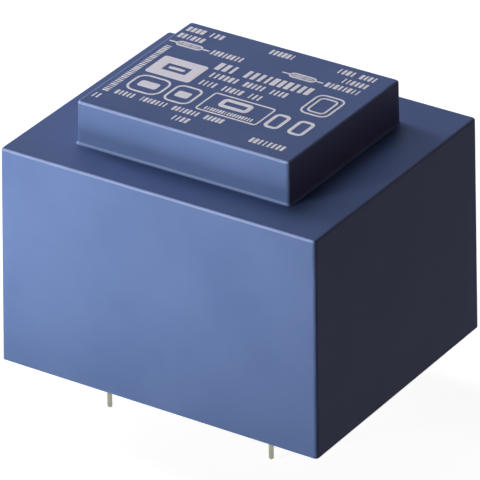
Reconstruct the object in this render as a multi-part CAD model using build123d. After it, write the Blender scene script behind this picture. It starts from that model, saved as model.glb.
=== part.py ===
from build123d import *
from math import radians, sqrt, tan
import os

os.makedirs("parts", exist_ok=True)

# An encapsulated mains transformer for a circuit board. A shell core lies flat
# inside a moulded case that is open downwards, filled with casting resin, and
# six pins come out of the resin. All sizes are in millimetres. Z = 0 is the
# plane of the case rim, which seats on the board; X runs along the long side,
# Y across it and along the axis of the coil.

# Core: E and I sheets of the scrapless pattern. Every width in the pair is a
# multiple of the yoke, so a 9 mm yoke gives the common 54 by 45 outline.
yoke_width = 9.0
core_stack = 18.8
sheet_thickness = 0.52

# Coil former: one moulding with a square tube, two end flanges, a divider that
# keeps mains and low voltage apart, and a terminal bar under each yoke.
tube_clearance = 0.15
tube_wall = 0.9
tube_corner_radius = 0.6
flange_rise = 1.5
flange_thickness = 0.9
flange_corner_radius = 2.0
divider_thickness = 1.0
former_end_gap = 0.15
leg_gap = 0.25
former_underside = 6.6
notch_depth = 1.2
notch_width = 1.5
bar_height = 5.0
bar_overhang = 2.2
bar_edge_radius = 0.5
rib_thickness = 1.2
rib_count = 4

# Windings: the mains winding fills the near chamber, and the far chamber holds
# two equal low-voltage windings, one wound over the other.
winding_margin = 1.2
tape_thickness = 0.3
lead_margin = 0.8
lead_slant = 4.5
mains_wire_radius = 0.16
output_wire_radius = 0.25

# Pins: tinned square wire whose free end is turned round, two on the mains side
# and four opposite. Their setback and inset put them on a 5 mm board grid.
pin_radius = 0.4
post_half = 0.45
pin_row_setback = 1.65
pin_end_inset = 2.75
pair_pitch = 10.0
pin_reach = 8.9
pin_tip_chamfer = 0.2
pin_grip = 4.0
wing_reach = 0.12
wing_thickness = 0.45
wing_length = 2.0
wrap_turns = 3
wrap_groove = 0.5
solder_film = 0.04
solder_length = 0.9

# Case: one wall thickness all over, and draft so that it leaves its mould.
case_wall = 0.9
draft_angle = 0.9
end_gap = 0.55
side_gap = 0.1
resin_over_core = 1.75
plateau_end_gap = 0.5
plateau_side_gap = 1.7
corner_radius = 0.6
cavity_corner_radius = 0.5
edge_radius = 0.4
foot_radius = 0.4

# Casting resin: it stops short of the rim and creeps up the wall and the pins.
resin_level = 0.9
creep_radius = 0.5

# Drawing aids: how far a cut runs past what it cuts, how close two places count
# as one, and how steep an edge has to be to count as upright.
cut_margin = 1.0
same_place = 0.001
upright_share = 0.9

# Places that follow from the sizes above.
core_length = 6 * yoke_width
core_width = 5 * yoke_width
centre_leg = 2 * yoke_width
window_length = 3 * yoke_width
tube_half_x = centre_leg / 2 + tube_clearance + tube_wall
tube_half_z = core_stack / 2 + tube_clearance + tube_wall
flange_half_x = centre_leg / 2 + yoke_width - leg_gap
winding_build = flange_half_x - tube_half_x - winding_margin - tape_thickness
output_split = (winding_build - tape_thickness) / 2
flange_half_z = tube_half_z + winding_build + tape_thickness + flange_rise
former_half_y = window_length / 2 - former_end_gap
coil_height = former_underside + flange_half_z
core_bottom = coil_height - core_stack / 2
core_top = coil_height + core_stack / 2
bar_underside = former_underside + notch_depth
chamber_outer_y = former_half_y - flange_thickness
winding_outer_y = chamber_outer_y - lead_margin
pin_row_y = former_half_y + pin_row_setback
outer_pin_x = flange_half_x - pin_end_inset
bar_outer_y = pin_row_y + bar_overhang
wrap_bore = sqrt(2) * post_half + solder_film
slope = tan(radians(draft_angle))
ceiling_height = coil_height + flange_half_z
case_top = ceiling_height + case_wall
shelf_height = core_top + resin_over_core + case_wall
plateau_rise = case_top - shelf_height
case_length = core_length + 2 * (end_gap + case_wall + core_top * slope)
case_width = core_width + 2 * (side_gap + case_wall + core_top * slope)
plateau_length = 2 * (flange_half_x + plateau_end_gap + case_wall + plateau_rise * slope)
plateau_width = 2 * (former_half_y + plateau_side_gap + case_wall + plateau_rise * slope)
mains_pin_x = [-outer_pin_x, outer_pin_x]
output_pin_x = [-outer_pin_x, pair_pitch - outer_pin_x, outer_pin_x - pair_pitch, outer_pin_x]
pin_places = [(x, -pin_row_y) for x in mains_pin_x] + [(x, pin_row_y) for x in output_pin_x]
half_divider = divider_thickness / 2


def drafted_block(length, width, bottom, top, upright_radius):
    """A block whose four sides lean in by the draft angle, with round upright corners."""
    foot = Pos(0, 0, bottom) * Rectangle(length, width)
    block = extrude(foot, amount=top - bottom, taper=draft_angle)
    uprights = block.edges().filter_by(lambda edge: abs(edge.tangent_at(0.5).Z) > upright_share)
    return fillet(uprights, upright_radius)


def cavity():
    """The space inside the case, straight from the rim up into the plateau."""
    lower = drafted_block(
        case_length - 2 * case_wall,
        case_width - 2 * case_wall,
        0,
        shelf_height - case_wall,
        cavity_corner_radius,
    )
    upper = drafted_block(
        plateau_length - 2 * case_wall,
        plateau_width - 2 * case_wall,
        shelf_height - case_wall,
        ceiling_height,
        cavity_corner_radius,
    )
    return lower + upper


def case():
    """The moulded cup: a body, and a plateau above it that gives the coil its headroom."""
    body = drafted_block(case_length, case_width, 0, shelf_height, corner_radius)
    body = fillet(body.faces().sort_by(Axis.Z)[-1].edges(), edge_radius)
    plateau = drafted_block(
        plateau_length, plateau_width, shelf_height, case_top, corner_radius
    )
    plateau = fillet(plateau.faces().sort_by(Axis.Z)[-1].edges(), edge_radius)
    shell = body + plateau
    foot_line = plateau.faces().sort_by(Axis.Z)[0].bounding_box()
    foot = shell.edges().filter_by(
        lambda edge: abs(edge.center().Z - shelf_height) < same_place
        and abs(edge.tangent_at(0.5).Z) < same_place
        and abs(edge.center().X) < foot_line.max.X + same_place
        and abs(edge.center().Y) < foot_line.max.Y + same_place
    )
    return fillet(foot, foot_radius) - cavity()


def across(outline, middle_y, thickness):
    """Thicken an outline in X and Z along Y, about the coil axis."""
    middle = Plane((0, middle_y, coil_height), x_dir=(1, 0, 0), z_dir=(0, -1, 0))
    return extrude(middle * outline, amount=thickness / 2, both=True)


def e_outline():
    """The E sheet: its yoke on the -Y side, three legs towards +Y."""
    depth = 4 * yoke_width
    plate = Rectangle(core_length, depth)
    window = Rectangle(yoke_width, window_length)
    centre = yoke_width / 2
    windows = [
        Pos(side * (centre_leg + yoke_width) / 2, centre) * window for side in (-1, 1)
    ]
    return Pos(0, depth / 2 - core_width / 2) * (plate - windows)


def sheets():
    """The sheets, laid in turn from both sides so that the joints overlap."""
    count = round(core_stack / sheet_thickness)
    pitch = core_stack / count
    i_outline = Pos(0, (core_width - yoke_width) / 2) * Rectangle(core_length, yoke_width)
    e_sheet = extrude(e_outline(), pitch)
    i_sheet = extrude(i_outline, pitch)
    e_stack = []
    i_stack = []
    for layer in range(count):
        place = Pos(0, 0, core_bottom + layer * pitch) * Rot(0, 0, 180 * (layer % 2))
        e_stack.append(place * e_sheet)
        i_stack.append(place * i_sheet)
    return Compound(children=e_stack), Compound(children=i_stack)


def core_block():
    """The outline that the sheets fill together, as one block."""
    windows = [
        Pos(side * (centre_leg + yoke_width) / 2, 0) * Rectangle(yoke_width, window_length)
        for side in (-1, 1)
    ]
    outline = Rectangle(core_length, core_width) - windows
    return Pos(0, 0, core_bottom) * extrude(outline, core_stack)


def flange(middle_y, thickness):
    """A plate round the coil, with soft corners."""
    outline = RectangleRounded(2 * flange_half_x, 2 * flange_half_z, flange_corner_radius)
    return across(outline, middle_y, thickness)


def terminal_bar(side):
    """The bar that grips one row of pins, with ribs that bear on the yoke above it."""
    inner_y = chamber_outer_y
    depth = bar_outer_y - inner_y
    middle_y = (bar_outer_y + inner_y) / 2
    bar = Pos(0, middle_y, bar_underside + bar_height / 2) * Box(
        2 * flange_half_x, depth, bar_height
    )
    bar = fillet(bar.faces().sort_by(Axis.Y)[-1].edges(), bar_edge_radius)
    rib_height = core_bottom - bar_underside - bar_edge_radius
    rib_pitch = 2 * (flange_half_x - rib_thickness) / (rib_count - 1)
    for number in range(rib_count):
        rib_x = (number - (rib_count - 1) / 2) * rib_pitch
        bar += Pos(rib_x, middle_y - bar_edge_radius / 2, core_bottom - rib_height / 2) * Box(
            rib_thickness, depth - bar_edge_radius, rib_height
        )
    if side < 0:
        bar = mirror(bar, about=Plane.XZ)
    return bar


def coil_former():
    """Tube, flanges, divider and terminal bars, moulded as one."""
    tube_outline = RectangleRounded(2 * tube_half_x, 2 * tube_half_z, tube_corner_radius)
    bore = Rectangle(2 * (tube_half_x - tube_wall), 2 * (tube_half_z - tube_wall))
    former = across(tube_outline, 0, 2 * former_half_y)
    former += flange(0, divider_thickness)
    for side, places in ((-1, mains_pin_x), (1, output_pin_x)):
        former += flange(side * (former_half_y - flange_thickness / 2), flange_thickness)
        former += terminal_bar(side)
        for place in places:
            notch = Pos(place, side * (chamber_outer_y + flange_thickness / 2), former_underside)
            former -= notch * Box(
                notch_width,
                flange_thickness + cut_margin,
                notch_depth,
                align=(Align.CENTER, Align.CENTER, Align.MIN),
            )
    return former - across(bore, 0, 2 * (former_half_y + cut_margin))


def pin(place_x, place_y):
    """A pin: a round free end, a square post above it, and two wings staked in the bar."""
    upwards = (Align.CENTER, Align.CENTER, Align.MIN)
    free_end = Pos(place_x, place_y, -pin_reach) * Cylinder(
        pin_radius, pin_reach + resin_level, align=upwards
    )
    free_end = chamfer(free_end.faces().sort_by(Axis.Z)[0].edges(), pin_tip_chamfer)
    post = Pos(place_x, place_y, resin_level) * Box(
        2 * post_half, 2 * post_half, bar_underside + pin_grip - resin_level, align=upwards
    )
    wings = Pos(place_x, place_y, bar_underside + (pin_grip - wing_length) / 2) * Box(
        2 * (post_half + wing_reach), wing_thickness, wing_length, align=upwards
    )
    return free_end + post + wings


def ring(inner_build, outer_build, from_y, to_y):
    """A band of the coil, between two depths of build on the tube."""
    outer = RectangleRounded(
        2 * (tube_half_x + outer_build),
        2 * (tube_half_z + outer_build),
        tube_corner_radius + outer_build,
    )
    inner = RectangleRounded(
        2 * (tube_half_x + inner_build),
        2 * (tube_half_z + inner_build),
        tube_corner_radius + inner_build,
    )
    return across(outer - inner, (from_y + to_y) / 2, abs(to_y - from_y))


def turned(outline, place_x, place_y):
    """A closed outline of radius and height, turned round an upright axis."""
    face = make_face(Polyline(*outline, close=True))
    return Pos(place_x, place_y, 0) * revolve(Plane.XZ * face, Axis.Z)


def wrap(place_x, place_y, wire_radius):
    """The turns of a lead round its post, close together under the terminal bar."""
    crest = wrap_bore + 2 * wire_radius
    valley = crest - wrap_groove * wire_radius
    outline = [(wrap_bore, bar_underside), (valley, bar_underside)]
    for turn in range(wrap_turns):
        middle = bar_underside - (2 * turn + 1) * wire_radius
        outline.append((crest, middle))
        outline.append((valley, middle - wire_radius))
    outline.append((wrap_bore, bar_underside - 2 * wrap_turns * wire_radius))
    return turned(outline, place_x, place_y)


def lead(start_build, pin_x, side, wire_radius):
    """One end of a winding: down beside the flange, out through its notch, to the pin."""
    start_x = pin_x - lead_slant if pin_x > 0 else pin_x + lead_slant
    start_z = coil_height - tube_half_z - start_build
    margin_y = side * (chamber_outer_y - lead_margin / 2)
    run_z = bar_underside - notch_depth / 2
    route = Polyline(
        (start_x, margin_y - side * lead_margin, start_z),
        (start_x, margin_y, start_z),
        (pin_x, margin_y, run_z),
        (pin_x, side * (pin_row_y - wrap_bore - wire_radius), run_z),
    )
    section = Plane(route @ 0, z_dir=route % 0) * Circle(wire_radius)
    return sweep(section, path=route, transition=Transition.RIGHT)


def solder_joint(place_x, place_y, wire_radius):
    """The solder that fills the turns and runs down the post in a cone."""
    neck = bar_underside - 2 * wrap_turns * wire_radius
    outline = [
        (0, bar_underside),
        (wrap_bore, bar_underside),
        (wrap_bore, neck),
        (wrap_bore + (2 - wrap_groove) * wire_radius, neck),
        (wrap_bore, neck - solder_length),
        (0, neck - solder_length),
    ]
    return turned(outline, place_x, place_y)


def joint_room(place_x, place_y, wire_radius):
    """The plain space in the resin that holds one wrapped and soldered joint."""
    crest = wrap_bore + 2 * wire_radius
    neck = bar_underside - 2 * wrap_turns * wire_radius
    outline = [
        (0, bar_underside),
        (crest, bar_underside),
        (crest, neck),
        (wrap_bore, neck - solder_length),
        (0, neck - solder_length),
    ]
    return turned(outline, place_x, place_y)


def resin_creep(place_x, place_y):
    """The small collar where the resin climbs a pin: a block less the round hollow beside it."""
    collar_radius = pin_radius + creep_radius
    block = Pos(collar_radius / 2, resin_level - creep_radius / 2) * Rectangle(
        collar_radius, creep_radius
    )
    hollow = Pos(collar_radius, resin_level - creep_radius) * Circle(creep_radius)
    return Pos(place_x, place_y, 0) * revolve(Plane.XZ * (block - hollow), Axis.Z)


def casting_resin(held):
    """What fills the case: the cavity, less its shallow pan and all that it holds."""
    pan = drafted_block(
        case_length - 2 * case_wall,
        case_width - 2 * case_wall,
        0,
        resin_level,
        cavity_corner_radius,
    )
    pan = fillet(pan.faces().sort_by(Axis.Z)[-1].edges(), creep_radius)
    resin = cavity() - pan
    for place_x, place_y in pin_places:
        resin += resin_creep(place_x, place_y)
    for piece in held:
        resin -= piece
    return resin


pins = [pin(x, y) for x, y in pin_places]
former = coil_former()
for one_pin in pins:
    former -= one_pin

mains_band = ring(0, winding_build, -half_divider, -winding_outer_y)
inner_band = ring(0, output_split, half_divider, winding_outer_y)
outer_band = ring(output_split + tape_thickness, winding_build, half_divider, winding_outer_y)
mains_cover = ring(
    winding_build, winding_build + tape_thickness, -half_divider, -winding_outer_y
)
output_layer = ring(
    output_split, output_split + tape_thickness, half_divider, winding_outer_y
)
output_cover = ring(
    winding_build, winding_build + tape_thickness, half_divider, winding_outer_y
)

# Which winding each pin belongs to, how deep in the coil its wire end starts, and
# how thick that wire is. The order is that of the pins.
wire_ends = [
    ("mains_winding", winding_build / 2, mains_wire_radius),
    ("mains_winding", winding_build / 2, mains_wire_radius),
    ("inner_output_winding", output_split / 2, output_wire_radius),
    ("inner_output_winding", output_split / 2, output_wire_radius),
    ("outer_output_winding", winding_build - output_split / 2, output_wire_radius),
    ("outer_output_winding", winding_build - output_split / 2, output_wire_radius),
]

pieces = {
    "case": case(),
    "coil_former": former,
    "mains_winding": mains_band,
    "inner_output_winding": inner_band,
    "outer_output_winding": outer_band,
    "mains_cover_tape": mains_cover,
    "output_layer_tape": output_layer,
    "output_cover_tape": output_cover,
}
pieces["e_laminations"], pieces["i_laminations"] = sheets()

held = [core_block(), former, mains_band, inner_band, outer_band]
held += [mains_cover, output_layer, output_cover]
for number, ((place_x, place_y), wire_end) in enumerate(zip(pin_places, wire_ends), start=1):
    winding, start_build, wire_radius = wire_end
    one_pin = pins[number - 1]
    one_lead = lead(start_build, place_x, 1 if place_y > 0 else -1, wire_radius)
    pieces[winding] += one_lead + wrap(place_x, place_y, wire_radius)
    pieces[f"pin_{number}"] = one_pin
    pieces[f"solder_joint_{number}"] = solder_joint(place_x, place_y, wire_radius) - one_pin
    held += [one_pin, one_lead, joint_room(place_x, place_y, wire_radius)]
pieces["casting_resin"] = casting_resin(held)

for name, piece in pieces.items():
    piece.label = name
    export_step(piece, f"parts/{name}.step")
    print(name, len(piece.solids()), round(piece.volume, 1))
print("case", round(case_length, 2), round(case_width, 2), "shelf", round(shelf_height, 2))
print("plateau", round(plateau_length, 2), round(plateau_width, 2), "top", round(case_top, 2))
print("pins at", pin_places)
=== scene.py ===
# %% [markdown]
# This scene dresses an encapsulated mains transformer for a circuit board. Its
# shape is already there: the CAD part holds the case, the resin, the core, the
# coils and the six pins, each as a node. Blender adds the finishes, the print
# on the lid, a floor, six soft lamps and a camera. The frame is loaded first,
# because every size below is read from it or set against it.

# %% Load the frame
from math import cos, pi, radians, sin

import bmesh
import bpy
from mathutils import Matrix, Vector


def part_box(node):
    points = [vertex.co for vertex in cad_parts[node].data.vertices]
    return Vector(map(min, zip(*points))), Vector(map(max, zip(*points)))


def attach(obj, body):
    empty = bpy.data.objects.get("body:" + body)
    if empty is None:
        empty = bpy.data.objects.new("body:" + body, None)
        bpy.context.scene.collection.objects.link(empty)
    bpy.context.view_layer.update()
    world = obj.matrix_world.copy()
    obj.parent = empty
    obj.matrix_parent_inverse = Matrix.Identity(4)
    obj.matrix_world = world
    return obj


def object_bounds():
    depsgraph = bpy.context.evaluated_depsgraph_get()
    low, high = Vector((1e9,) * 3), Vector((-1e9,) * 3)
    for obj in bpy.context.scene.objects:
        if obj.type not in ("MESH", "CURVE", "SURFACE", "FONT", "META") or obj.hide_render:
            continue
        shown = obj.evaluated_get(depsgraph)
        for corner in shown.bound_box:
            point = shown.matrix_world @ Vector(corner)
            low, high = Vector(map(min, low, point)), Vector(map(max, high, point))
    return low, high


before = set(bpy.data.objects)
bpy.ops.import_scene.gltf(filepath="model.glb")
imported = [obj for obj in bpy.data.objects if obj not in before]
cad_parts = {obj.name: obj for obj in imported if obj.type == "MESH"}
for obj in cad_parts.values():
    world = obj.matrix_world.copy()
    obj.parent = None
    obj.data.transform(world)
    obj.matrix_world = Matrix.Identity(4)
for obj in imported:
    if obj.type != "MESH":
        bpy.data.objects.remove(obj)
cad_low, cad_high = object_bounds()
MM = 0.001
print("CAD box in mm:", [round((b - a) / MM, 2) for a, b in zip(cad_low, cad_high)])

# %% [markdown]
# Colours are read off a screen as sRGB hex values, but Blender's shaders work
# in linear light. One function does the conversion, so that every colour in
# this file can be checked against a photograph by eye.

# %% Colour helper
def linear(hex_code):
    """An sRGB hex colour such as #6C81B3 as linear red, green, blue and alpha."""
    channels = [int(hex_code[i:i + 2], 16) / 255 for i in (1, 3, 5)]
    curve = [c / 12.92 if c <= 0.04045 else ((c + 0.055) / 1.055) ** 2.4 for c in channels]
    return (*curve, 1.0)


print("mid grey #808080 is", round(linear("#808080")[0], 3), "in linear light")

# %% [markdown]
# Each material and each geometry tree is a small graph. One function adds a
# node, changes its settings and fills its sockets, with a value or with a link.
# A node given as a value stands for its own first output, and a list gives one
# socket several links. Only sockets that the settings leave in use are counted.
# Reading a material is then reading a list of steps.

# %% Node helper
def add(tree, kind, sockets=None, **settings):
    """Adds a node and fills its sockets, each given by its name or counted from 0."""
    node = tree.nodes.new(kind)
    for name, value in settings.items():
        setattr(node, name, value)
    for key, value in (sockets or {}).items():
        in_use = [s for s in node.inputs if s.enabled]
        if isinstance(key, str):
            target = next(s for s in in_use if key in (s.identifier, s.name))
        else:
            target = in_use[key]
        for source in value if isinstance(value, list) else [value]:
            if isinstance(source, bpy.types.Node):
                source = next(s for s in source.outputs if s.enabled)
            if isinstance(source, bpy.types.NodeSocket):
                tree.links.new(source, target)
            else:
                target.default_value = source
    return node


# %% [markdown]
# Every material starts as an empty tree with a name. Its patterns are laid out
# by the place on the object, in metres, and some also by the way the surface
# faces. It ends in one shader that goes to the material's output.

# %% Start of a material
def new_material(name):
    """An empty node material and its tree."""
    material = bpy.data.materials.new(name)
    material.use_nodes = True
    material.node_tree.nodes.clear()
    print("material:", name)
    return material, material.node_tree


# %% [markdown]
# The camera is a long lens 0.86 m away, so the edges of the case stay nearly
# parallel. Its angles were found by solving for the view in which the corners
# of the case and of its raised lid fall where the photograph shows them. The
# lens comes from the same solution, and the image is taken as 480 pixels wide.

# %% Camera
camera_azimuth = radians(33.033)
camera_elevation = radians(28.724)
camera_roll = radians(-0.624)
camera_distance = 855.1 * MM
aim_point = Vector((0.0, 0.0, 20.0)) * MM
aim_shift_right, aim_shift_up = -0.052 * MM, -1.513 * MM
lens_in_pixels, image_width, sensor_width = 5514.6, 480, 36.0
nearest_seen, farthest_seen = 50 * MM, 20000 * MM

backwards = Vector((
    sin(camera_azimuth) * cos(camera_elevation),
    -cos(camera_azimuth) * cos(camera_elevation),
    sin(camera_elevation),
))
level_right = Vector((cos(camera_azimuth), sin(camera_azimuth), 0.0))
level_up = backwards.cross(level_right)
camera_right = cos(camera_roll) * level_right + sin(camera_roll) * level_up
camera_up = -sin(camera_roll) * level_right + cos(camera_roll) * level_up
camera_place = (
    aim_point + backwards * camera_distance
    + camera_right * aim_shift_right + camera_up * aim_shift_up
)

lens_data = bpy.data.cameras.new("camera")
lens_data.sensor_width = sensor_width
lens_data.lens = lens_in_pixels / image_width * sensor_width
lens_data.clip_start, lens_data.clip_end = nearest_seen, farthest_seen
camera = bpy.data.objects.new("camera", lens_data)
turn = Matrix((camera_right, camera_up, backwards)).transposed().to_4x4()
camera.matrix_world = Matrix.Translation(camera_place) @ turn
bpy.context.scene.collection.objects.link(camera)
bpy.context.scene.camera = camera
print("camera lens in mm:", round(lens_data.lens, 1))

# %% [markdown]
# Six soft lamps make the light of a small product studio. The key is low at the
# front left and lights the long wall. A second lamp hangs over the paper in
# front and shines straight down, so the wall is also lit by what the paper
# throws back. The shelf hides the paper from the foot of the raised lid, which
# is why that wall grows darker downwards. Two weaker and slightly cool lamps,
# at the left and overhead, light the flat tops, and the lid shades the shelf
# behind it. The right wall is nearly black in the photograph, with a brown tint,
# so only a faint orange lamp faces it. The back lamp lights the side that this
# camera never sees. These last two make no highlights, so the tops stay as they
# are.

# %% Lamps
def softbox(name, place, target, size, watts, spread, colour="#FFFFFF", highlights=True):
    """A square area lamp at a place, turned to a target, all in millimetres."""
    lamp = bpy.data.lights.new(name, "AREA")
    lamp.shape = "SQUARE"
    lamp.size = size * MM
    lamp.energy = watts
    lamp.color = linear(colour)[:3]
    lamp.spread = radians(spread)
    holder = bpy.data.objects.new(name, lamp)
    holder.location = Vector(place) * MM
    direction = (Vector(target) - Vector(place)).normalized()
    holder.rotation_euler = direction.to_track_quat("-Z", "Y").to_euler()
    holder.visible_glossy = highlights
    bpy.context.scene.collection.objects.link(holder)
    print(name, "at", place, "mm,", watts, "W")


COOL, ORANGE = "#F3EDFF", "#FF7B30"
softbox("key_lamp", (-260, -480, 90), (-6, -20, 22), 110, 0.80, 110)
softbox("paper_lamp", (-55, -138, 200), (-55, -138, -9), 60, 0.86, 46)
softbox("left_lamp", (-460, 60, 200), (-10, 0, 40), 160, 0.34, 90, COOL)
softbox("top_lamp", (-165, 120, 410), (-20, 0, 40), 260, 0.16, 90, COOL)
softbox("back_lamp", (-180, 520, 20), (0, 0, 15), 200, 0.48, 90, highlights=False)
softbox("right_lamp", (520, 120, 20), (0, 0, 15), 200, 0.05, 90, ORANGE, highlights=False)

# %% [markdown]
# The photograph's background is pure white. That white is only for the eye of
# the camera and for what shines: the world and the floor are white to camera,
# glossy and transmission rays, and plain dim grey to the light that falls on
# the part. The object is then not flooded by its own background.

# %% World
def seen_rays(tree):
    """1 for the rays that should meet the white background, 0 for lighting rays."""
    path = add(tree, "ShaderNodeLightPath").outputs
    shiny = add(tree, "ShaderNodeMath", {
        0: path["Is Glossy Ray"], 1: path["Is Transmission Ray"]}, operation="MAXIMUM")
    return add(tree, "ShaderNodeMath", {0: path["Is Camera Ray"], 1: shiny}, operation="MAXIMUM")


WHITE = (1, 1, 1, 1)
room_strength, white_strength = 0.01, 1.0
world = bpy.data.worlds.new("studio")
world.use_nodes = True
tree = world.node_tree
tree.nodes.clear()
room_light = add(tree, "ShaderNodeBackground", {
    "Color": linear("#D8C4BC"), "Strength": room_strength})
white_room = add(tree, "ShaderNodeBackground", {"Color": WHITE, "Strength": white_strength})
room = add(tree, "ShaderNodeMixShader", {0: seen_rays(tree), 1: room_light, 2: white_room})
add(tree, "ShaderNodeOutputWorld", {"Surface": room})
bpy.context.scene.world = world
bpy.context.scene.view_settings.view_transform = "Standard"
print("the room lights the part with", room_strength, "and shows as", white_strength)

# %% [markdown]
# The floor is one flat sheet at the tips of the pins, because the transformer
# stands on them. To the camera it glows to just short of white and the lamps'
# light on it adds the rest, so the shade of the part still shows on it.

# %% Floor
floor_reach, floor_glow = 3000 * MM, 0.9
floor_level = cad_low[2]
floor_mesh = bpy.data.meshes.new("floor")
floor_corners = [
    (x * floor_reach, y * floor_reach, floor_level)
    for x, y in ((-1, -1), (1, -1), (1, 1), (-1, 1))
]
floor_mesh.from_pydata(floor_corners, [], [(0, 1, 2, 3)])
floor = bpy.data.objects.new("floor", floor_mesh)
bpy.context.scene.collection.objects.link(floor)

floor_paper, tree = new_material("white_paper_floor")
paper = add(tree, "ShaderNodeBsdfDiffuse", {"Color": linear("#A0A0A2")})
glow = add(tree, "ShaderNodeEmission", {"Color": WHITE, "Strength": floor_glow})
bright_paper = add(tree, "ShaderNodeAddShader", {0: paper, 1: glow})
skin = add(tree, "ShaderNodeMixShader", {0: seen_rays(tree), 1: paper, 2: bright_paper})
add(tree, "ShaderNodeOutputMaterial", {"Surface": skin})
floor_mesh.materials.append(floor_paper)
print("the floor lies at", round(floor_level / MM, 2), "mm")

# %% [markdown]
# The case is moulded in blue plastic. Along its edge radii the colour is painted
# pale, a painted highlight that draws a light line along them, and the surface
# there is less rough. A mask could be painted by hand, but the shape already
# tells where the edges are: walls face sideways, flats face up, and only an edge
# radius faces halfway. The rounded foot of the lid faces halfway too and gets
# about half the painted highlight. The edges that face right are turned from the
# lamps and have no pale line in the photograph, so there it fades to a tenth.

# %% Where the case's edges are painted pale
case_plastic, tree = new_material("satin_blue_moulded_thermoplastic")
wall_end, edge_start, edge_end, top_start = 0.04, 0.22, 0.86, 0.99
turning_right, turned_right, right_share = 0.2, 0.7, 0.1
lid_rise, foot_width, foot_blur, foot_share = 7.28 * MM, 1.2 * MM, 0.12 * MM, 0.55
foot_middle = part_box("case")[1][2] - lid_rise + foot_width / 2

here = add(tree, "ShaderNodeTexCoord").outputs
facing = add(tree, "ShaderNodeSeparateXYZ", {0: here["Normal"]}).outputs
# The mask of the painted highlight: edge radii in full, the lid's foot at about half.
off_wall = add(tree, "ShaderNodeMapRange", {
    "Value": facing["Z"], "From Min": wall_end, "From Max": edge_start})
off_top = add(tree, "ShaderNodeMapRange", {
    "Value": facing["Z"], "From Min": edge_end, "From Max": top_start,
    "To Min": 1.0, "To Max": 0.0})
halfway = add(tree, "ShaderNodeMath", {0: off_wall, 1: off_top}, operation="MULTIPLY")
level = add(tree, "ShaderNodeSeparateXYZ", {0: here["Object"]}).outputs["Z"]
foot_offset = add(tree, "ShaderNodeMath", {0: level, 1: foot_middle}, operation="SUBTRACT")
foot_distance = add(tree, "ShaderNodeMath", {0: foot_offset}, operation="ABSOLUTE")
off_foot = add(tree, "ShaderNodeMapRange", {
    "Value": foot_distance, "From Min": (foot_width - foot_blur) / 2,
    "From Max": (foot_width + foot_blur) / 2, "To Min": foot_share})
edge_and_foot_highlight = add(tree, "ShaderNodeMath", {0: halfway, 1: off_foot}, operation="MULTIPLY")
# The painted highlight fades on edges that face right, away from the lamps.
off_right = add(tree, "ShaderNodeMapRange", {
    "Value": facing["X"], "From Min": turning_right, "From Max": turned_right,
    "To Min": 1.0, "To Max": right_share})
painted_edge_highlight = add(tree, "ShaderNodeMath", {0: edge_and_foot_highlight, 1: off_right}, operation="MULTIPLY")
print("the lid's foot is looked for at", round(foot_middle / MM, 2), "mm")

# %% [markdown]
# The plastic is a glass-filled thermoplastic, injection moulded in a mould whose
# walls were spark eroded. That leaves a fine, even, satin grain, and the pigment
# is faintly cloudy. The grain of the real case is about 0.1 mm, too fine for
# this picture, so it is drawn three times as coarse. Both the painted highlight
# in the pigment and the shine follow the mask from the step before.

# %% Blue case plastic
grain_size, grain_height, grained, highlight_edge_roughness = 0.3 * MM, 0.03 * MM, 0.46, 0.3
cloud_size, cloud_low, cloud_high = 14 * MM, 0.35, 0.65
cloud = add(tree, "ShaderNodeTexNoise", {
    "Vector": here["Object"], "Scale": 1 / cloud_size, "Detail": 3.0})
cloudy = add(tree, "ShaderNodeMapRange", {
    "Value": cloud, "From Min": cloud_low, "From Max": cloud_high})
pigment = add(tree, "ShaderNodeMix", {
    "Factor": cloudy, "A": linear("#596E98"), "B": linear("#5E739D")}, data_type="RGBA")
# Painted highlight: the edges get a paler blue, #97A8D0, in place of the lamps' light line.
tone = add(tree, "ShaderNodeMix", {
    "Factor": painted_edge_highlight, "A": pigment, "B": linear("#97A8D0")}, data_type="RGBA")
sheen = add(tree, "ShaderNodeMapRange", {
    "Value": painted_edge_highlight, "To Min": grained, "To Max": highlight_edge_roughness})
grain = add(tree, "ShaderNodeTexNoise", {
    "Vector": here["Object"], "Scale": 1 / grain_size, "Detail": 2.0, "Roughness": 0.6})
relief = add(tree, "ShaderNodeBump", {
    "Height": grain, "Strength": 0.35, "Distance": grain_height})
skin = add(tree, "ShaderNodeBsdfPrincipled", {
    "Base Color": tone, "Roughness": sheen, "Normal": relief,
    "Specular IOR Level": 0.05, "IOR": 1.5})
add(tree, "ShaderNodeOutputMaterial", {"Surface": skin})
print("the case's grain is", grain_size / MM, "mm wide and", grain_height / MM, "mm high")

# %% [markdown]
# The resin is a two-part casting compound, poured in from the pin side while
# the case stands upside down. It levels itself and sets glossy and nearly
# black, with a slow waviness where it shrank. It has no grain of its own, so
# the relief is a wide, weak noise under a smooth, shiny surface.

# %% Casting resin
casting_resin, tree = new_material("black_cast_polyurethane_resin")
wave_size, wave_height, filler_size = 6 * MM, 0.4 * MM, 0.4 * MM
here = add(tree, "ShaderNodeTexCoord").outputs
wave = add(tree, "ShaderNodeTexNoise", {
    "Vector": here["Object"], "Scale": 1 / wave_size, "Detail": 1.0})
filler = add(tree, "ShaderNodeTexNoise", {
    "Vector": here["Object"], "Scale": 1 / filler_size, "Detail": 2.0})
tone = add(tree, "ShaderNodeMix", {
    "Factor": filler, "A": linear("#24262B"), "B": linear("#33353A")}, data_type="RGBA")
relief = add(tree, "ShaderNodeBump", {"Height": wave, "Strength": 0.4, "Distance": wave_height})
skin = add(tree, "ShaderNodeBsdfPrincipled", {
    "Base Color": tone, "Roughness": 0.22, "Normal": relief, "IOR": 1.5})
add(tree, "ShaderNodeOutputMaterial", {"Surface": skin})

# %% [markdown]
# The core is cold-rolled silicon steel, punched into E and I sheets and
# annealed, which leaves a thin blue-grey oxide. On the flat faces the rolling
# direction shows as fine streaks along X. The edges of the stack are the bright
# sheared rims of the sheets, so they are paler.

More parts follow.
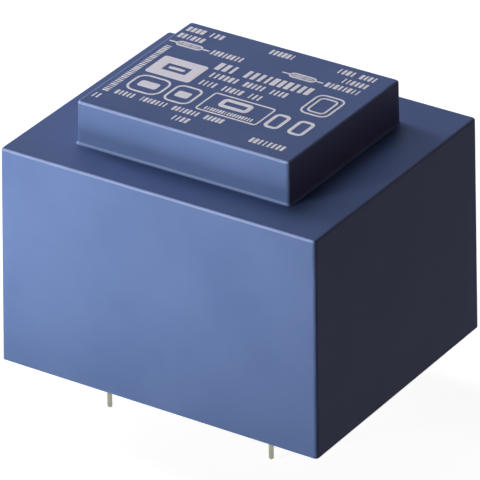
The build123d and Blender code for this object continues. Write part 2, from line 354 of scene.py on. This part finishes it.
# %% Electrical steel
core_steel, tree = new_material("annealed_silicon_steel_sheet")
streak_width, streak_length, streak_height = 0.25 * MM, 8 * MM, 0.01 * MM
here = add(tree, "ShaderNodeTexCoord").outputs
rolled = add(tree, "ShaderNodeMapping", {
    "Vector": here["Object"], "Scale": (1 / streak_length, 1 / streak_width, 1 / streak_width)})
streaks = add(tree, "ShaderNodeTexNoise", {"Vector": rolled, "Scale": 1.0, "Detail": 3.0})
oxide = add(tree, "ShaderNodeMix", {
    "Factor": streaks, "A": linear("#5C636E"), "B": linear("#7F8790")}, data_type="RGBA")
facing = add(tree, "ShaderNodeSeparateXYZ", {0: here["Normal"]}).outputs
flatness = add(tree, "ShaderNodeMath", {0: facing["Z"]}, operation="ABSOLUTE")
tone = add(tree, "ShaderNodeMix", {
    "Factor": flatness, "A": linear("#B4B6B8"), "B": oxide}, data_type="RGBA")
relief = add(tree, "ShaderNodeBump", {
    "Height": streaks, "Strength": 0.3, "Distance": streak_height})
skin = add(tree, "ShaderNodeBsdfPrincipled", {
    "Base Color": tone, "Metallic": 1.0, "Roughness": 0.42, "Normal": relief})
add(tree, "ShaderNodeOutputMaterial", {"Surface": skin})

# %% [markdown]
# The coil former is glass-filled polyamide, moulded without pigment. It is a
# warm ivory, slightly see-through at thin walls, with short paler fibres near
# the surface.

# %% Coil former plastic
former_plastic, tree = new_material("natural_glass_filled_polyamide")
fibre_size, fibre_height, see_through = 0.5 * MM, 0.03 * MM, 0.5 * MM
here = add(tree, "ShaderNodeTexCoord").outputs
fibres = add(tree, "ShaderNodeTexNoise", {
    "Vector": here["Object"], "Scale": 1 / fibre_size, "Detail": 4.0, "Distortion": 0.6})
tone = add(tree, "ShaderNodeMix", {
    "Factor": fibres, "A": linear("#D9D0B8"), "B": linear("#EDE7D6")}, data_type="RGBA")
relief = add(tree, "ShaderNodeBump", {
    "Height": fibres, "Strength": 0.25, "Distance": fibre_height})
skin = add(tree, "ShaderNodeBsdfPrincipled", {
    "Base Color": tone, "Roughness": 0.48, "Normal": relief, "IOR": 1.53,
    "Subsurface Weight": 0.1, "Subsurface Scale": see_through})
add(tree, "ShaderNodeOutputMaterial", {"Surface": skin})

# %% [markdown]
# Both windings are enamelled copper wire laid turn against turn around the
# former, so the turns run round the Y axis and repeat along it. The mains wire
# is thinner than the output wire. Each turn is painted light on its crown and
# dark in the groove to the next, a painted highlight and painted shade. One
# function builds both finishes, because only the spacing of the turns and the
# two enamel colours differ.

# %% Winding wire
layer_patch = 2 * MM


def winding_wire(name, turn_spacing, dark, light):
    """Enamelled copper whose turns repeat along Y with the given spacing, painted light on their
    crowns and dark between them.
    """
    material, tree = new_material(name)
    here = add(tree, "ShaderNodeTexCoord").outputs
    along = add(tree, "ShaderNodeSeparateXYZ", {0: here["Object"]}).outputs["Y"]
    # Painted highlight and painted shade: each turn is light on its crown and dark in the groove,
    # varied by a noise.
    phase = add(tree, "ShaderNodeMath", {0: along, 1: pi / turn_spacing}, operation="MULTIPLY")
    wave = add(tree, "ShaderNodeMath", {0: phase}, operation="SINE")
    crown = add(tree, "ShaderNodeMath", {0: wave}, operation="ABSOLUTE")
    layering = add(tree, "ShaderNodeTexNoise", {
        "Vector": here["Object"], "Scale": 1 / layer_patch, "Detail": 2.0})
    shade = add(tree, "ShaderNodeMath", {0: crown, 1: layering}, operation="MULTIPLY")
    tone = add(tree, "ShaderNodeMix", {
        "Factor": shade, "A": linear(dark), "B": linear(light)}, data_type="RGBA")
    relief = add(tree, "ShaderNodeBump", {
        "Height": crown, "Strength": 0.8, "Distance": turn_spacing / 2})
    skin = add(tree, "ShaderNodeBsdfPrincipled", {
        "Base Color": tone, "Metallic": 1.0, "Roughness": 0.24, "Normal": relief,
        "Coat Weight": 0.6, "Coat Roughness": 0.12})
    add(tree, "ShaderNodeOutputMaterial", {"Surface": skin})
    return material


mains_wire = winding_wire("fine_enamelled_copper_wire", 0.32 * MM, "#6E2C14", "#D0703A")
output_wire = winding_wire("enamelled_copper_wire", 0.50 * MM, "#7A3418", "#DC8248")

# %% [markdown]
# The windings are wrapped in polyester film tape. The film is smooth, amber
# yellow and a little wrinkled where it goes round the corners of the coil.

# %% Polyester tape
tape_film, tree = new_material("amber_polyester_film_tape")
wrinkle_size, wrinkle_height = 2.5 * MM, 0.15 * MM
here = add(tree, "ShaderNodeTexCoord").outputs
wrinkle = add(tree, "ShaderNodeTexNoise", {
    "Vector": here["Object"], "Scale": 1 / wrinkle_size, "Detail": 2.0, "Distortion": 1.2})
tone = add(tree, "ShaderNodeMix", {
    "Factor": wrinkle, "A": linear("#C79A22"), "B": linear("#E3BC45")}, data_type="RGBA")
relief = add(tree, "ShaderNodeBump", {
    "Height": wrinkle, "Strength": 0.35, "Distance": wrinkle_height})
skin = add(tree, "ShaderNodeBsdfPrincipled", {
    "Base Color": tone, "Roughness": 0.2, "Normal": relief, "IOR": 1.58,
    "Coat Weight": 0.4, "Coat Roughness": 0.1})
add(tree, "ShaderNodeOutputMaterial", {"Surface": skin})

# %% [markdown]
# The pins are drawn wire with a matt tin plating. Drawing leaves fine lines
# along the pin, and the tin is a soft, faintly yellow grey that dulls in
# patches.

# %% Tinned pins
tinned_wire, tree = new_material("matt_tin_plated_wire")
line_width, line_length, line_height = 0.06 * MM, 3 * MM, 0.01 * MM
dull_patch, shining, dulled = 1.2 * MM, 0.3, 0.5
here = add(tree, "ShaderNodeTexCoord").outputs
drawn = add(tree, "ShaderNodeMapping", {
    "Vector": here["Object"], "Scale": (1 / line_width, 1 / line_width, 1 / line_length)})
lines = add(tree, "ShaderNodeTexNoise", {"Vector": drawn, "Scale": 1.0, "Detail": 2.0})
patches = add(tree, "ShaderNodeTexNoise", {
    "Vector": here["Object"], "Scale": 1 / dull_patch, "Detail": 2.0})
tone = add(tree, "ShaderNodeMix", {
    "Factor": patches, "A": linear("#8C8D7C"), "B": linear("#A9A999")}, data_type="RGBA")
sheen = add(tree, "ShaderNodeMapRange", {
    "Value": patches, "To Min": shining, "To Max": dulled})
relief = add(tree, "ShaderNodeBump", {"Height": lines, "Strength": 0.2, "Distance": line_height})
skin = add(tree, "ShaderNodeBsdfPrincipled", {
    "Base Color": tone, "Metallic": 1.0, "Roughness": sheen, "Normal": relief})
add(tree, "ShaderNodeOutputMaterial", {"Surface": skin})

# %% [markdown]
# The wire ends are dip soldered to the pins. Solder that froze in air is
# bright, with a slightly frosted, uneven skin.

# %% Solder
solder_metal, tree = new_material("bright_tin_solder")
frost_size, frost_height = 0.25 * MM, 0.04 * MM
here = add(tree, "ShaderNodeTexCoord").outputs
frost = add(tree, "ShaderNodeTexNoise", {
    "Vector": here["Object"], "Scale": 1 / frost_size, "Detail": 3.0})
tone = add(tree, "ShaderNodeMix", {
    "Factor": frost, "A": linear("#C4C6C9"), "B": linear("#DFE0E2")}, data_type="RGBA")
relief = add(tree, "ShaderNodeBump", {"Height": frost, "Strength": 0.4, "Distance": frost_height})
skin = add(tree, "ShaderNodeBsdfPrincipled", {
    "Base Color": tone, "Metallic": 1.0, "Roughness": 0.2, "Normal": relief})
add(tree, "ShaderNodeOutputMaterial", {"Surface": skin})

# %% [markdown]
# The CAD nodes keep their shapes and take these finishes in place of their
# plain ones. A list of finish and nodes is enough, because each node is one
# material.

# %% Dress the CAD nodes
finishes = [
    (case_plastic, ["case"]),
    (casting_resin, ["casting_resin"]),
    (core_steel, ["e_laminations", "i_laminations"]),
    (former_plastic, ["coil_former"]),
    (mains_wire, ["mains_winding"]),
    (output_wire, ["inner_output_winding", "outer_output_winding"]),
    (tape_film, ["mains_cover_tape", "output_layer_tape", "output_cover_tape"]),
    (tinned_wire, [f"pin_{number}" for number in range(1, 7)]),
    (solder_metal, [f"solder_joint_{number}" for number in range(1, 7)]),
]
for finish, names in finishes:
    for name in names:
        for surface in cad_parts[name].material_slots:
            surface.material = finish
    print(finish.name, "is on", len(names), "nodes")

# %% [markdown]
# The lid is pad printed in pale ink with a generic layout: rows of narrow bars,
# a pale panel, a few outlines and two hatched pills. Pad printing lays down a
# film a few hundredths of a millimetre thick, and its white varies slightly
# over the moulded grain.

# %% Ink
ink, tree = new_material("pale_pad_printing_ink")
ink_patch = 0.5 * MM
here = add(tree, "ShaderNodeTexCoord").outputs
cover = add(tree, "ShaderNodeTexNoise", {
    "Vector": here["Object"], "Scale": 1 / ink_patch, "Detail": 3.0})
tone = add(tree, "ShaderNodeMix", {
    "Factor": cover, "A": linear("#F6F7FA"), "B": linear("#FFFFFF")}, data_type="RGBA")
skin = add(tree, "ShaderNodeBsdfPrincipled", {
    "Base Color": tone, "Roughness": 0.42, "IOR": 1.55})
add(tree, "ShaderNodeOutputMaterial", {"Surface": skin})

# %% [markdown]
# Two geometry trees make every mark. Each has named inputs for its sizes, so one
# tree serves marks of all sizes. A modifier's input is set by the identifier of
# its socket and not by its name, so the identifiers are kept by name.

# %% Start of a print tree
def start_tree(name, inputs):
    """A geometry tree: itself, the sockets of its inputs, and their identifiers."""
    tree = bpy.data.node_groups.new(name, "GeometryNodeTree")
    tree.is_modifier = True
    identifiers = {}
    for label, kind in inputs.items():
        socket = tree.interface.new_socket(label, in_out="INPUT", socket_type=kind)
        identifiers[label] = socket.identifier
    tree.interface.new_socket("Ink", in_out="OUTPUT", socket_type="NodeSocketGeometry")
    print("geometry tree:", name, list(inputs))
    return tree, add(tree, "NodeGroupInput").outputs, identifiers


# %% [markdown]
# Both trees end in the same steps. A flat outline is filled, pushed up by the
# thickness of the ink, and closed underneath. The fill is used twice, because
# Extrude Mesh takes the face it starts from away with it: one copy becomes the
# top and the sides, the other the underside.

# %% Outline, thickness and end of a print tree
ink_thickness, weld_distance, corner_points = 0.04 * MM, 0.002 * MM, 4


def rounded_outline(tree, width, height, corner):
    """A rectangle with rounded corners, as a closed curve."""
    square = add(tree, "GeometryNodeCurvePrimitiveQuadrilateral", {
        "Width": width, "Height": height})
    return add(tree, "GeometryNodeFilletCurve", {
        "Curve": square, "Count": corner_points, "Radius": corner, "Limit Radius": True},
        mode="POLY")


def ink_slab(tree, outline):
    """Fills flat outlines and gives them the thickness of the ink, closed on all sides."""
    sheet = add(tree, "GeometryNodeFillCurve", {"Curve": outline}, mode="NGONS")
    lift = add(tree, "ShaderNodeCombineXYZ", {"Z": ink_thickness})
    raised = add(tree, "GeometryNodeExtrudeMesh", {
        "Mesh": sheet, "Offset": lift, "Offset Scale": 1.0, "Individual": False}, mode="FACES")
    under = add(tree, "GeometryNodeFlipFaces", {"Mesh": sheet})
    both = add(tree, "GeometryNodeJoinGeometry", {"Geometry": [raised, under]})
    return add(tree, "GeometryNodeMergeByDistance", {
        "Geometry": both, "Distance": weld_distance})


def end_tree(tree, geometry):
    """Turns instances into real geometry, gives it the ink and closes the tree."""
    real = add(tree, "GeometryNodeRealizeInstances", {"Geometry": geometry})
    inked = add(tree, "GeometryNodeSetMaterial", {"Geometry": real, "Material": ink})
    add(tree, "NodeGroupOutput", {"Ink": inked})


print("the ink is", ink_thickness / MM, "mm thick")

# %% [markdown]
# The first tree makes a row of bars. A line of points carries one bar each, and
# a random number with a fixed seed makes the bars a little narrower or wider, so
# that a row has an uneven grey from here. Instances are enough, because all the
# bars of a row are one shape stretched.

# %% Tree: a row of bars
row_tree, row_sizes, row_inputs = start_tree("printed_row", {
    "Count": "NodeSocketInt", "Pitch": "NodeSocketFloat", "Bar": "NodeSocketFloat",
    "Height": "NodeSocketFloat", "Seed": "NodeSocketInt"})
bar_corner, narrowest, widest = 0.08 * MM, 0.6, 1.5
pitch_step = add(row_tree, "ShaderNodeCombineXYZ", {"X": row_sizes["Pitch"]})
points = add(row_tree, "GeometryNodeMeshLine", {
    "Count": row_sizes["Count"], "Offset": pitch_step})
bar_outline = rounded_outline(row_tree, row_sizes["Bar"], row_sizes["Height"], bar_corner)
bar = ink_slab(row_tree, bar_outline)
stretch = add(row_tree, "FunctionNodeRandomValue", {
    "Min": narrowest, "Max": widest, "Seed": row_sizes["Seed"]}, data_type="FLOAT")
stretch_x = add(row_tree, "ShaderNodeCombineXYZ", {"X": stretch, "Y": 1.0, "Z": 1.0})
bars = add(row_tree, "GeometryNodeInstanceOnPoints", {
    "Points": points, "Instance": bar, "Scale": stretch_x})
end_tree(row_tree, bars)

# %% [markdown]
# The second tree makes one rounded shape, solid or as an outline. An outline is
# two nested curves filled together, so the inner one is simply left out of the
# fill when the border is zero.

# %% Tree: a shape or an outline
shape_tree, shape_sizes, shape_inputs = start_tree("printed_shape", {
    "Width": "NodeSocketFloat", "Height": "NodeSocketFloat", "Corner": "NodeSocketFloat",
    "Border": "NodeSocketFloat"})
width, height, corner, border = (
    shape_sizes[label] for label in ("Width", "Height", "Corner", "Border"))
borders = add(shape_tree, "ShaderNodeMath", {0: border, 1: 2.0}, operation="MULTIPLY")
inner_width = add(shape_tree, "ShaderNodeMath", {0: width, 1: borders}, operation="SUBTRACT")
inner_height = add(shape_tree, "ShaderNodeMath", {0: height, 1: borders}, operation="SUBTRACT")
inner_corner = add(shape_tree, "ShaderNodeMath", {0: corner, 1: border}, operation="SUBTRACT")
outer_line = rounded_outline(shape_tree, width, height, corner)
inner_line = rounded_outline(shape_tree, inner_width, inner_height, inner_corner)
nested = add(shape_tree, "GeometryNodeJoinGeometry", {"Geometry": [outer_line, inner_line]})
hollow = add(shape_tree, "FunctionNodeCompare", {0: border, 1: weld_distance},
             operation="GREATER_THAN")
chosen = add(shape_tree, "GeometryNodeSwitch", {
    "Switch": hollow, "False": outer_line, "True": nested}, input_type="GEOMETRY")
end_tree(shape_tree, ink_slab(shape_tree, chosen))

# %% [markdown]
# Every mark is printed by running one of the trees on an empty object, reading
# the evaluated mesh, and moving it to its place on the lid. All of them are
# gathered into a single mesh, because the print is one layer on one body. It
# reaches a hair into the lid, so that no light gets under it.

# %% Print one mark
print_sink = 0.005 * MM
print_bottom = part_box("case")[1][2] - print_sink
print_mesh = bmesh.new()


def print_mark(tree, inputs, sizes, origin, turned=0.0):
    """Runs a print tree with its sizes and adds the mark with its origin there, in millimetres."""
    holder = bpy.data.objects.new("mark", bpy.data.meshes.new("mark"))
    bpy.context.scene.collection.objects.link(holder)
    modifier = holder.modifiers.new("print", "NODES")
    modifier.node_group = tree
    for label, value in sizes.items():
        modifier[inputs[label]] = value
    evaluated = holder.evaluated_get(bpy.context.evaluated_depsgraph_get())
    mark = bpy.data.meshes.new_from_object(evaluated)
    where = Matrix.Translation((origin[0] * MM, origin[1] * MM, print_bottom))
    mark.transform(where @ Matrix.Rotation(radians(turned), 4, "Z"))
    print_mesh.from_mesh(mark)
    bpy.data.objects.remove(holder)
    bpy.data.meshes.remove(mark)


print("the print starts at", round(print_bottom / MM, 3), "mm")

# %% [markdown]
# Two functions call it with plain sizes in millimetres, from the middle of the
# lid. A row has as many bars as fit between its ends. Unless it is told its
# pitch, they stand half the row's height apart, and each fills half its pitch.
# A shape is given by its four sides.

# %% Rows and shapes
pitch_per_height, bar_per_pitch = 0.52, 0.52


def print_row(start, end, height, level, seed, pitch=None, upright=False):
    """A row of bars from start to end at a level on the lid, along Y if it is upright."""
    count = max(1, round((end - start) / (pitch or pitch_per_height * height)))
    pitch = (end - start) / count
    sizes = {"Count": count, "Pitch": pitch * MM, "Bar": bar_per_pitch * pitch * MM,
             "Height": height * MM, "Seed": seed}
    first_bar = (start + pitch / 2, level)
    if upright:
        print_mark(row_tree, row_inputs, sizes, first_bar[::-1], turned=90)
    else:
        print_mark(row_tree, row_inputs, sizes, first_bar)


def print_shape(left, right, bottom, top, corner=0.0, border=0.0):
    """A rounded shape between four sides, solid if it has no border."""
    sizes = {"Width": (right - left) * MM, "Height": (top - bottom) * MM,
             "Corner": corner * MM, "Border": border * MM}
    print_mark(shape_tree, shape_inputs, sizes, ((left + right) / 2, (bottom + top) / 2))


# %% [markdown]
# Each line of the table gives a row's level and height, and then the left and
# right end of each group of bars in it.

# %% Rows of bars
rows = [
    (13.6, 1.5, [(-18.3, -14.9), (-14.1, -11.4), (-3.0, 1.6), (9.4, 12.6), (13.4, 16.4)]),
    (11.1, 1.5, [(-18.3, -13.5), (11.7, 16.4)]),
    (8.7, 1.5, [(-10.7, -4.8), (10.2, 16.4)]),
    (5.2, 2.4, [(-7.4, -3.6), (-2.2, 10.0)]),
    (2.2, 1.6, [(-6.7, -1.5), (-0.5, 3.3), (4.3, 7.4)]),
    (-0.7, 1.6, [(-6.7, -3.6), (-2.6, 1.2), (2.2, 4.6)]),
    (-7.5, 1.0, [(-1.4, 7.3)]),
    (-10.1, 1.4, [(-15.9, -12.4), (-11.4, -6.5), (-5.5, -0.7), (0.3, 3.7)]),
    (-12.7, 1.5, [(-18.4, -16.9), (-3.9, -0.8), (10.1, 16.4)]),
]
for level, height, groups in rows:
    for left, right in groups:
        print_row(left, right, height, level, seed=len(print_mesh.verts))
side_seed, side_level = 7, -17.4
print_row(-10.9, 7.2, 1.1, side_level, side_seed, upright=True)
print("the rows have", len(print_mesh.verts), "points")

# %% [markdown]
# The larger marks are plain fields, frames and pills. The two long pills have a
# line at each end and are hatched with fine bars, so that they look grey from
# here.

# %% Panels, frames and pills
hatch_seed, hatch_pitch = 11, 0.3
for pill_middle in (-14.7, 6.1):
    print_shape(pill_middle - 2.4, pill_middle + 2.4, 7.9, 9.5, corner=0.8, border=0.35)
    print_shape(pill_middle - 3.7, pill_middle - 2.3, 8.55, 8.85)
    print_shape(pill_middle + 2.3, pill_middle + 3.7, 8.55, 8.85)
    print_row(pill_middle - 1.9, pill_middle + 1.9, 0.7, 8.7, hatch_seed, hatch_pitch)
print_shape(-16.0, -7.9, -2.1, 4.0, corner=0.5, border=1.9)
print_shape(-13.4, -10.5, 0.6, 1.3, corner=0.3)
print_shape(11.2, 16.3, -1.2, 5.6, corner=1.4, border=0.35)
print_shape(12.1, 15.4, -0.3, 4.7, corner=0.9, border=0.35)
print_shape(-15.8, -9.6, -8.6, -2.9, corner=1.8, border=0.4)
print_shape(-14.4, -11.0, -6.7, -4.8, corner=0.4)
print_shape(-8.8, -4.0, -8.6, -2.9, corner=1.4, border=0.4)
print_shape(-7.6, -5.2, -6.7, -4.8, corner=0.4)
print_shape(-2.6, 8.5, -8.6, -2.4, corner=0.6, border=0.3)
print_shape(-0.2, 5.2, -6.1, -3.3, corner=0.8, border=0.8)
print_shape(9.2, 12.0, -8.1, -3.3, corner=1.0, border=0.6)
print_shape(13.4, 16.3, -8.1, -3.3, corner=1.0, border=0.6)
print("the whole print has", len(print_mesh.verts), "points")

# %% [markdown]
# The gathered marks become one object, which rides on the part and takes the
# case's slot, because the ink has none of its own in the record.

# %% The print as one piece
lid_print_mesh = bpy.data.meshes.new("lid_print")
print_mesh.to_mesh(lid_print_mesh)
print_mesh.free()
lid_print_mesh.materials.append(ink)
lid_print = bpy.data.objects.new("lid_print", lid_print_mesh)
bpy.context.scene.collection.objects.link(lid_print)
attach(lid_print, "root")
print("the print has", len(lid_print_mesh.polygons), "faces")
